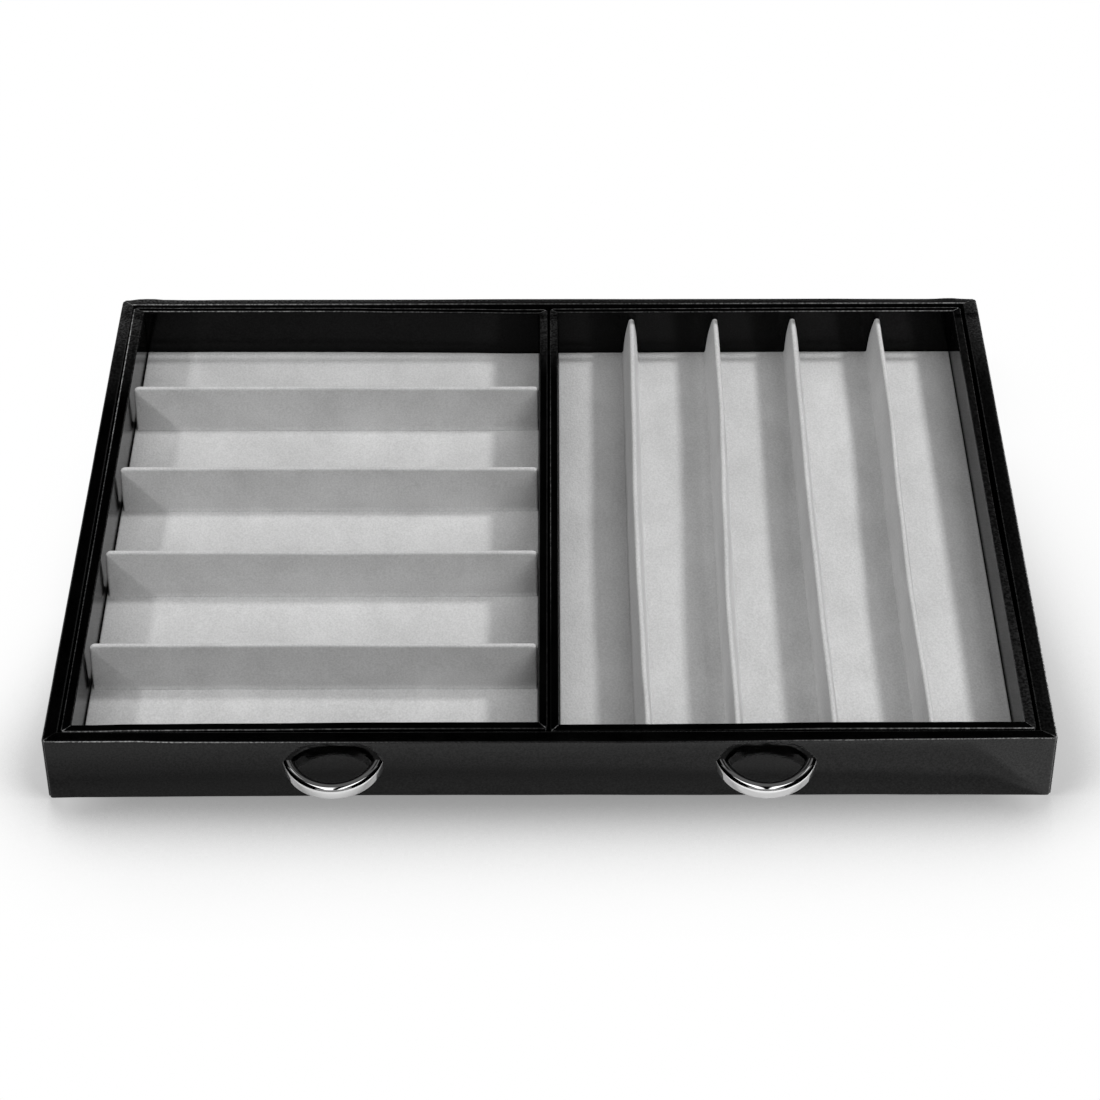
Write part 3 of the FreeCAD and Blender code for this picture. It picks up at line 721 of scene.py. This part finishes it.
def pad(tray, centre, settle, seed):
    """A thin stuffed pad with rounded edges and a softly rippled top."""
    xs, ys = spaced(PAD_HALF_WIDTH), spaced(PAD_HALF_DEPTH)
    across, deep = len(xs), len(ys)

    def top(x, y):
        from_edge = min(PAD_HALF_WIDTH - abs(x), PAD_HALF_DEPTH - abs(y))
        ripple = 0.07 * (wobble(x, y, seed, 26.0) - 1) + 0.03 * (wobble(x, y, seed + 3, 9.0) - 1)
        return PAD_TOP - rounded_off(PAD_EDGE, from_edge) + ripple

    points = [settle(centre + x, y + PAD_BACK_GROWTH * (y > 0), top(x, y)) for y in ys for x in xs]
    faces = [(a, a + 1, a + across + 1, a + across)
             for a in (j * across + i for j in range(deep - 1) for i in range(across - 1))]
    border = (list(range(across))
              + [j * across + across - 1 for j in range(1, deep)]
              + [(deep - 1) * across + i for i in reversed(range(across - 1))]
              + [j * across for j in reversed(range(1, deep - 1))])
    base, count = len(points), len(border)
    points += [(points[n][0], points[n][1], PAD_FOOT + 0.02) for n in border]
    for n in range(count):
        m = (n + 1) % count
        faces.append((border[m], border[n], base + n, base + m))
    faces.append(tuple(base + n for n in reversed(range(count))))
    piece = make_piece(f"{tray}_velour_pad", points, faces, VELOUR, tray, f"{tray}_pad")


DIVIDER_HALF_FOOT, DIVIDER_CAP, DIVIDER_FLARE = 3.3, 1.2, 1.1
DIVIDER_END, DIVIDER_SHOULDER = 0.9, 2.4
DIVIDER_SPACING, DIVIDER_END_STRIP = 3.0, 4.5


def divider_section(height):
    """The closed section as (across, up): full flanks, a rounded top and a flat foot."""
    flank, cap_steps = 22, 8
    shoulder = height - DIVIDER_CAP
    taper = DIVIDER_HALF_FOOT - DIVIDER_CAP
    right = []
    for n in range(flank):
        share = n / flank
        flare = DIVIDER_FLARE * (1.0 - min(1.0, share / 0.10)) ** 2
        inward = taper * (0.28 * share + 0.72 * share ** 2.3)
        right.append((DIVIDER_HALF_FOOT - inward + flare, shoulder * share))
    cap = arc((0.0, shoulder), DIVIDER_CAP, 0, 180, cap_steps)
    left = [(-half, z) for half, z in reversed(right)]
    return right + cap + left + [(-1.6, 0.0), (0.0, 0.0), (1.6, 0.0)]


def divider_stations(half_length):
    """Positions along a divider, closer together at its rounded ends."""
    ends = [DIVIDER_END * (1.0 - math.cos(math.pi / 2 * n / 6)) for n in range(7)]
    ends += [1.3, 1.8, 2.4, 3.2]
    count = int(2 * half_length / DIVIDER_SPACING)
    inner = half_length - DIVIDER_END_STRIP
    return ([-half_length + e for e in ends]
            + [-inner + 2 * inner * n / count for n in range(count + 1)]
            + [half_length - e for e in reversed(ends)])


def divider(tray, number, along_x, at, centre, ends_at, ridge, seed):
    """A soft velour ridge: rounded top and ends, full flanks and a slightly wavering line."""
    foot = PAD_TOP - 0.6
    height = (CROSS_RIDGE if along_x else LONG_RIDGE) - foot
    half_length, middle = (ends_at[1] - ends_at[0]) / 2, (ends_at[1] + ends_at[0]) / 2
    profile, stations = divider_section(height), divider_stations(half_length)
    points = []
    for s in stations:
        from_end = half_length - abs(s)
        round_in = rounded_off(DIVIDER_END, from_end)
        round_down = rounded_off(DIVIDER_SHOULDER, from_end)
        leaning = curve_at(ridge, s + middle) - at
        for half, z in profile:
            share = z / height
            swell = 1.0 + 0.045 * wobble(s, z * 1.5, seed, 24.0)
            across = math.copysign(max(abs(half * swell) - round_in, 0.02), half) if half else 0.0
            up = z - round_down * smoothstep(0.55, 1.0, share)
            up -= 0.12 * share * (1.0 + wobble(s, 0.0, seed + 2, 31.0))
            lateral = at + leaning * (0.35 + 0.65 * share) + across
            run = s + middle
            points.append((centre + run, lateral, foot + up) if along_x
                          else (lateral, run, foot + up))
    faces = ring_faces(len(stations), len(profile))
    if along_x:
        faces = [tuple(reversed(f)) for f in faces]
    make_piece(f"{tray}_ridge_{number}", points, faces, VELOUR, tray,
               f"{tray}_divider_{number}")


# Each divider's place, then the line that its ridge takes: y by x on the left, x by y on the right.
CROSS_AT = [84.1, 25.4, -33.3, -92.0]
LONG_AT = [37.8, 75.8, 113.8, 151.8]
RIGHT_RIDGES = [
    [(-136, 39.0), (-97, 38.1), (-33, 37.3), (1, 37.1), (74, 37.7), (138, 38.2)],
    [(-136, 74.7), (-66, 74.1), (1, 75.4), (37, 76.4), (74, 77.2), (138, 77.1)],
    [(-136, 113.1), (-66, 112.4), (1, 112.2), (74, 112.7), (139, 113.2)],
    [(-136, 151.8), (-50, 150.6), (1, 151.4), (73, 153.1), (139, 152.8)],
]
LEFT_RIDGES = [
    [(-55, 84.4), (0, 84.5), (55, 83.9)],
    [(-55, 25.0), (0, 25.1), (55, 24.5)],
    [(-55, -32.7), (0, -33.3), (55, -33.1)],
    [(-55, -92.6), (0, -92.4), (55, -93.0)],
]


def tray_velour():
    cross_ends = (-TRAY_WIDTH / 2 + TRAY_WALL + 1.2, TRAY_WIDTH / 2 - TRAY_WALL - 0.4)
    long_ends = (-TRAY_DEPTH / 2 + TRAY_WALL + 0.8, TRAY_DEPTH / 2 - TRAY_WALL - 0.4)
    pad("left_tray", -TRAY_CENTRE, settle_left_tray, 3)
    pad("right_tray", TRAY_CENTRE, settle_right_tray, 4)
    for n, (at, ridge) in enumerate(zip(CROSS_AT, LEFT_RIDGES)):
        divider("left_tray", n + 1, True, at, -TRAY_CENTRE, cross_ends, ridge, 30 + n)
    for n, (at, ridge) in enumerate(zip(LONG_AT, RIGHT_RIDGES)):
        divider("right_tray", n + 1, False, at, 0.0, long_ends, ridge, 40 + n)


# ---------------------------------------------------------------- pulls


def rounded_bar():
    """The closed section of the bar, as (across, up) from its middle."""
    made = []
    for sx, sz, start in ((1, 1, 0), (-1, 1, 90), (-1, -1, 180), (1, -1, 270)):
        centre = (sx * (PULL_BAR_WIDTH / 2 - PULL_BAR_ROUNDING),
                  sz * (PULL_BAR_HEIGHT / 2 - PULL_BAR_ROUNDING))
        made += arc(centre, PULL_BAR_ROUNDING, start, start + 90, 7)
    return made


def bow(side, x):
    """A chrome bow: part of a ring that goes into the front and droops a little."""
    section = rounded_bar()
    reach = math.acos((PULL_SETBACK - PULL_SUNK) / PULL_RADIUS)
    droop_cos, droop_sin = math.cos(PULL_DROOP), math.sin(PULL_DROOP)
    points = []
    for n in range(PULL_STEPS + 1):
        angle = -reach + 2 * reach * n / PULL_STEPS
        for across, up in section:
            r = PULL_RADIUS + across
            forward = -r * math.cos(angle)
            y = forward * droop_cos - up * droop_sin
            z = forward * droop_sin + up * droop_cos
            points.append((x + r * math.sin(angle), -DEPTH / 2 + PULL_SETBACK * droop_cos + y,
                           PULL_LEVEL + PULL_SETBACK * droop_sin + z))
    faces = ring_faces(PULL_STEPS + 1, len(section))
    piece = make_piece(f"{side}_bow", points, faces, CHROME, "drawer",
                       f"{side}_pull")
    piece.visible_shadow = False


# ---------------------------------------------------------------- carried-over CAD nodes


def node_slot(name):
    """Which of NODE_MATERIALS a CAD node has."""
    for ending, slot in (("felt", "felt"), ("lining", "lining"), ("sheet", "backing"),
                         ("screws", "screw_steel")):
        if name.endswith(ending):
            return slot
    return "board"


def dress_nodes():
    for name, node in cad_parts.items():
        if node.hide_render:
            continue
        slot = node_slot(name)
        # The trays' base boards show only in the narrow gap round each pad, and take the black card
        # finish so that the gap stays dark.
        finish = "card" if name.endswith("tray_base_board") else slot
        node.data.materials.clear()
        node.data.materials.append(NODE_MATERIALS[finish])


# ---------------------------------------------------------------- studio


SHADE_REACH = 0.085      # how far from the drawer the floor can still be darkened by it
FLOOR_HALF, FLOOR_LEVEL = 6.0, -0.0002


def floor_shade(tree, x, y):
    """What the camera sees of the floor: white, darkened where the drawer keeps light off."""
    shade = add(tree, "ShaderNodeAmbientOcclusion", samples=16)
    shade.inputs["Distance"].default_value = SHADE_REACH
    lean = add(tree, "ShaderNodeCombineXYZ")
    lean.inputs["Y"].default_value = 0.42
    lean.inputs["Z"].default_value = 0.90
    sideways = add(tree, "ShaderNodeMix", data_type="FLOAT")
    sideways.inputs["B"].default_value = -0.55
    tree.links.new(ramp(tree, x, 0.0, 1.0, -0.20, 0.20), sideways.inputs["Factor"])
    tree.links.new(ramp(tree, y, 0.29, -0.23, -0.128, -0.04), sideways.inputs["A"])
    tree.links.new(sideways.outputs["Result"], lean.inputs["X"])
    tree.links.new(lean.outputs["Vector"], shade.inputs["Normal"])
    forward = ramp(tree, y, 1.0, 0.16, -0.14, 0.08)
    kept_off = multiply(tree, ramp(tree, shade.outputs["AO"], 1.0, 0.0, 0.0, 0.94), forward)
    at_corners = ramp(tree, calculate(tree, "ABSOLUTE", x), 0.70, 0.40, 0.155, 0.193)
    darkest = calculate(tree, "MINIMUM", kept_off, at_corners)
    falloff = ramp(tree, darkest, 1.0, 0.30, 0.0, 0.667)
    falloff.node.interpolation_type = "SMOOTHSTEP"
    return falloff


def floor_tone(tree, x, y):
    """What the leather mirrors of the floor: painted light, paler to the right, and a painted
    shadow of the drawer before its front.
    """
    drawn_in = total(tree, ramp(tree, x, 0.0010, 0.0090, -0.03, 0.14), y)
    in_shadow = ramp(tree, drawn_in, 0.0, 1.0, -0.1813, -0.1703)
    slant = multiply_add(tree, y, -0.80, x)
    in_shadow = multiply(tree, in_shadow, ramp(tree, slant, 1.0, 0.0, 0.3192, 0.3232))
    in_shadow = multiply(tree, in_shadow, ramp(tree, y, 1.0, 0.0, -0.1640, -0.1520))
    open_tone = ramp(tree, x, 0.72, 1.06, -0.20, 0.18)
    return multiply(tree, open_tone, ramp(tree, in_shadow, 1.0, 0.64, 0.0, 1.0))


def by_camera(tree, others, camera, out):
    """Shows one shader to the camera and the other to all other rays."""
    path = add(tree, "ShaderNodeLightPath")
    mixed = add(tree, "ShaderNodeMixShader")
    tree.links.new(path.outputs["Is Camera Ray"], mixed.inputs["Fac"])
    tree.links.new(others, mixed.inputs[1])
    tree.links.new(camera, mixed.inputs[2])
    tree.links.new(mixed.outputs["Shader"], add(tree, out).inputs["Surface"])


def floor_material():
    """White table, with the light and shade of the photograph."""
    material = bpy.data.materials.new("white_table")
    material.use_nodes = True
    tree = material.node_tree
    tree.nodes.clear()
    coordinates = add(tree, "ShaderNodeTexCoord")
    split = add(tree, "ShaderNodeSeparateXYZ")
    tree.links.new(coordinates.outputs["Object"], split.inputs["Vector"])
    x, y = split.outputs["X"], split.outputs["Y"]
    lit = add(tree, "ShaderNodeBsdfDiffuse")
    tree.links.new(floor_tone(tree, x, y), lit.inputs["Color"])
    seen = add(tree, "ShaderNodeEmission")
    tree.links.new(floor_shade(tree, x, y), seen.inputs["Color"])
    by_camera(tree, lit.outputs["BSDF"], seen.outputs["Emission"], "ShaderNodeOutputMaterial")
    return material


def level_sheet(name, low, high, height, material):
    """A level rectangle between two (x, y) corners."""
    mesh = bpy.data.meshes.new(name)
    mesh.from_pydata([(low[0], low[1], height), (high[0], low[1], height),
                      (high[0], high[1], height), (low[0], high[1], height)], [], [(0, 1, 2, 3)])
    mesh.materials.append(material)
    return add_object(name, mesh)


def make_floor():
    floor = level_sheet("table_top", (-FLOOR_HALF, -FLOOR_HALF), (FLOOR_HALF, FLOOR_HALF), 0.0,
                        floor_material())
    floor.location.z = FLOOR_LEVEL


def studio_glow(tree, direction):
    """The studio in each direction, but for the camera's: softboxes overhead, dark around them.

    Directions are turned into places on a level ceiling one unit up, across and back. The leather
    mirrors smaller, stronger boxes than the ones that light the floor and the velour, and two
    strips, a card behind the camera and a dim panel beside them.
    """
    x, y, z = direction
    height = calculate(tree, "MAXIMUM", z, 0.001)
    across, back = (calculate(tree, "DIVIDE", axis, height) for axis in (x, y))
    mirrored = add(tree, "ShaderNodeLightPath").outputs["Is Glossy Ray"]
    diffused = ramp(tree, mirrored, 1.0, 0.0, 0.0, 1.0)

    def box_pair(reach, far, strength, rays):
        """Two softboxes side by side, out to reach and back to far, for one kind of ray."""
        left_box = between(tree, across, -reach, -0.01, 0.05)
        right_box = between(tree, across, 0.09, reach, 0.05)
        both = multiply(tree, total(tree, left_box, right_box),
                        between(tree, back, -1.20, far, 0.06))
        return multiply(tree, both, ramp(tree, rays, 0.0, strength, 0.0, 1.0))

    boxes = total(tree, box_pair(0.85, 0.36, 0.94, diffused), box_pair(0.36, 0.12, 1.45, mirrored))
    strips = total(tree, between(tree, across, -0.60, -0.16, 0.03),
                   between(tree, across, 0.16, 0.60, 0.03))
    strips = multiply(tree, strips, between(tree, back, 0.36, 0.48, 0.03))
    boxes = multiply_add(tree, multiply(tree, strips, mirrored), 0.75, boxes)
    sideways = calculate(tree, "DIVIDE", x, y)
    card = multiply(tree, between(tree, sideways, -0.66, 0.66, 0.08),
                    between(tree, back, -6.0, -1.2, 0.10))
    boxes = multiply_add(tree, multiply(tree, card, mirrored), 0.26, boxes)
    panel = multiply(tree, between(tree, back, 0.16, 0.97, 0.10),
                     between(tree, across, -1.1, 1.1, 0.3))
    low_sky = multiply(tree, between(tree, z, 0.0, 0.45, 0.10), ramp(tree, y, 0.0, 1.0, 0.2, 0.6))
    return multiply_add(tree, panel, 0.10, multiply_add(tree, low_sky, 0.10, boxes))


def make_world():
    """White to the camera, a dark studio with softboxes to everything else."""
    world = bpy.data.worlds.new("studio")
    scene.world = world
    world.use_nodes = True
    tree = world.node_tree
    tree.nodes.clear()
    coordinates = add(tree, "ShaderNodeTexCoord")
    split = add(tree, "ShaderNodeSeparateXYZ")
    tree.links.new(coordinates.outputs["Generated"], split.inputs["Vector"])
    studio = add(tree, "ShaderNodeBackground")
    tree.links.new(studio_glow(tree, [split.outputs[axis] for axis in "XYZ"]),
                   studio.inputs["Color"])
    white = add(tree, "ShaderNodeBackground")
    by_camera(tree, studio.outputs["Background"], white.outputs["Background"],
              "ShaderNodeOutputWorld")


def lamp(name, at, power, size_x, size_y=None):
    """An area lamp that shines at the drawer's middle. No camera and no mirror shows it."""
    light = bpy.data.lights.new(name, "AREA")
    light.shape = "DISK" if size_y is None else "RECTANGLE"
    light.size = size_x
    if size_y is not None:
        light.size_y = size_y
    light.energy = power
    thing = add_object(name, light)
    thing.location = at
    thing.rotation_euler = (-Vector(at)).to_track_quat("-Z", "Y").to_euler()
    thing.visible_camera = thing.visible_glossy = False


def make_lights():
    """A small key from the right, a low lamp from the left and a softbox in front on the right."""
    lamp("key", (0.822, 0.250, 0.880), 7.65, 0.15)
    lamp("left_light", (-0.589, -0.150, 0.450), 1.20, 0.06)
    lamp("front_softbox", (0.365, -0.750, 0.550), 1.85, 0.55, 0.35)


def make_flag():
    """A narrow black card just above the back rim that keeps the key off the back of the trays."""
    flag = level_sheet("key_flag", (-0.25, 0.1369), (0.25, 0.1402), 0.0342, NODE_MATERIALS["card"])
    flag.visible_camera = flag.visible_glossy = flag.visible_diffuse = False
    flag.visible_transmission = False


CAMERA_AT = (0.001660, -1.049164, 0.860385)
CAMERA_PITCH, CAMERA_YAW, CAMERA_ROLL = 0.68581, -0.001435, 0.003054
CAMERA_LENS = 101.66


def make_camera():
    """The photograph's camera: 39 degrees down, almost level, from a little over 1.3 m away."""
    level_cos, roll_cos = math.cos(CAMERA_PITCH), math.cos(CAMERA_ROLL)
    roll_sin = math.sin(CAMERA_ROLL)
    forward = Vector((math.sin(CAMERA_YAW) * level_cos, math.cos(CAMERA_YAW) * level_cos,
                      -math.sin(CAMERA_PITCH)))
    right = Vector((math.cos(CAMERA_YAW), -math.sin(CAMERA_YAW), 0.0))
    down = forward.cross(right)
    right, down = roll_cos * right + roll_sin * down, roll_cos * down - roll_sin * right
    camera_data = bpy.data.cameras.new("camera")
    camera_data.sensor_width = 36.0
    camera_data.lens = CAMERA_LENS
    camera_data.clip_start, camera_data.clip_end = 0.05, 50.0
    camera = add_object("camera", camera_data)
    axes = Matrix((right, -down, -forward)).transposed().to_4x4()
    camera.matrix_world = Matrix.Translation(CAMERA_AT) @ axes
    scene.camera = camera


drawer_frame()
tray_frame("left_tray", -TRAY_CENTRE, LEFT_TRAY_EDGE_HIGHLIGHTS, LEFT_TRAY_FLAT_HIGHLIGHT, settle_left_tray, 20)
tray_frame("right_tray", TRAY_CENTRE, RIGHT_TRAY_EDGE_HIGHLIGHTS, RIGHT_TRAY_FLAT_HIGHLIGHT, settle_right_tray, 10)
tray_velour()
bow("left", -PULL_X)
bow("right", PULL_X)
dress_nodes()
make_floor()
make_world()
make_lights()
make_flag()
make_camera()
scene.view_settings.view_transform = "Standard"
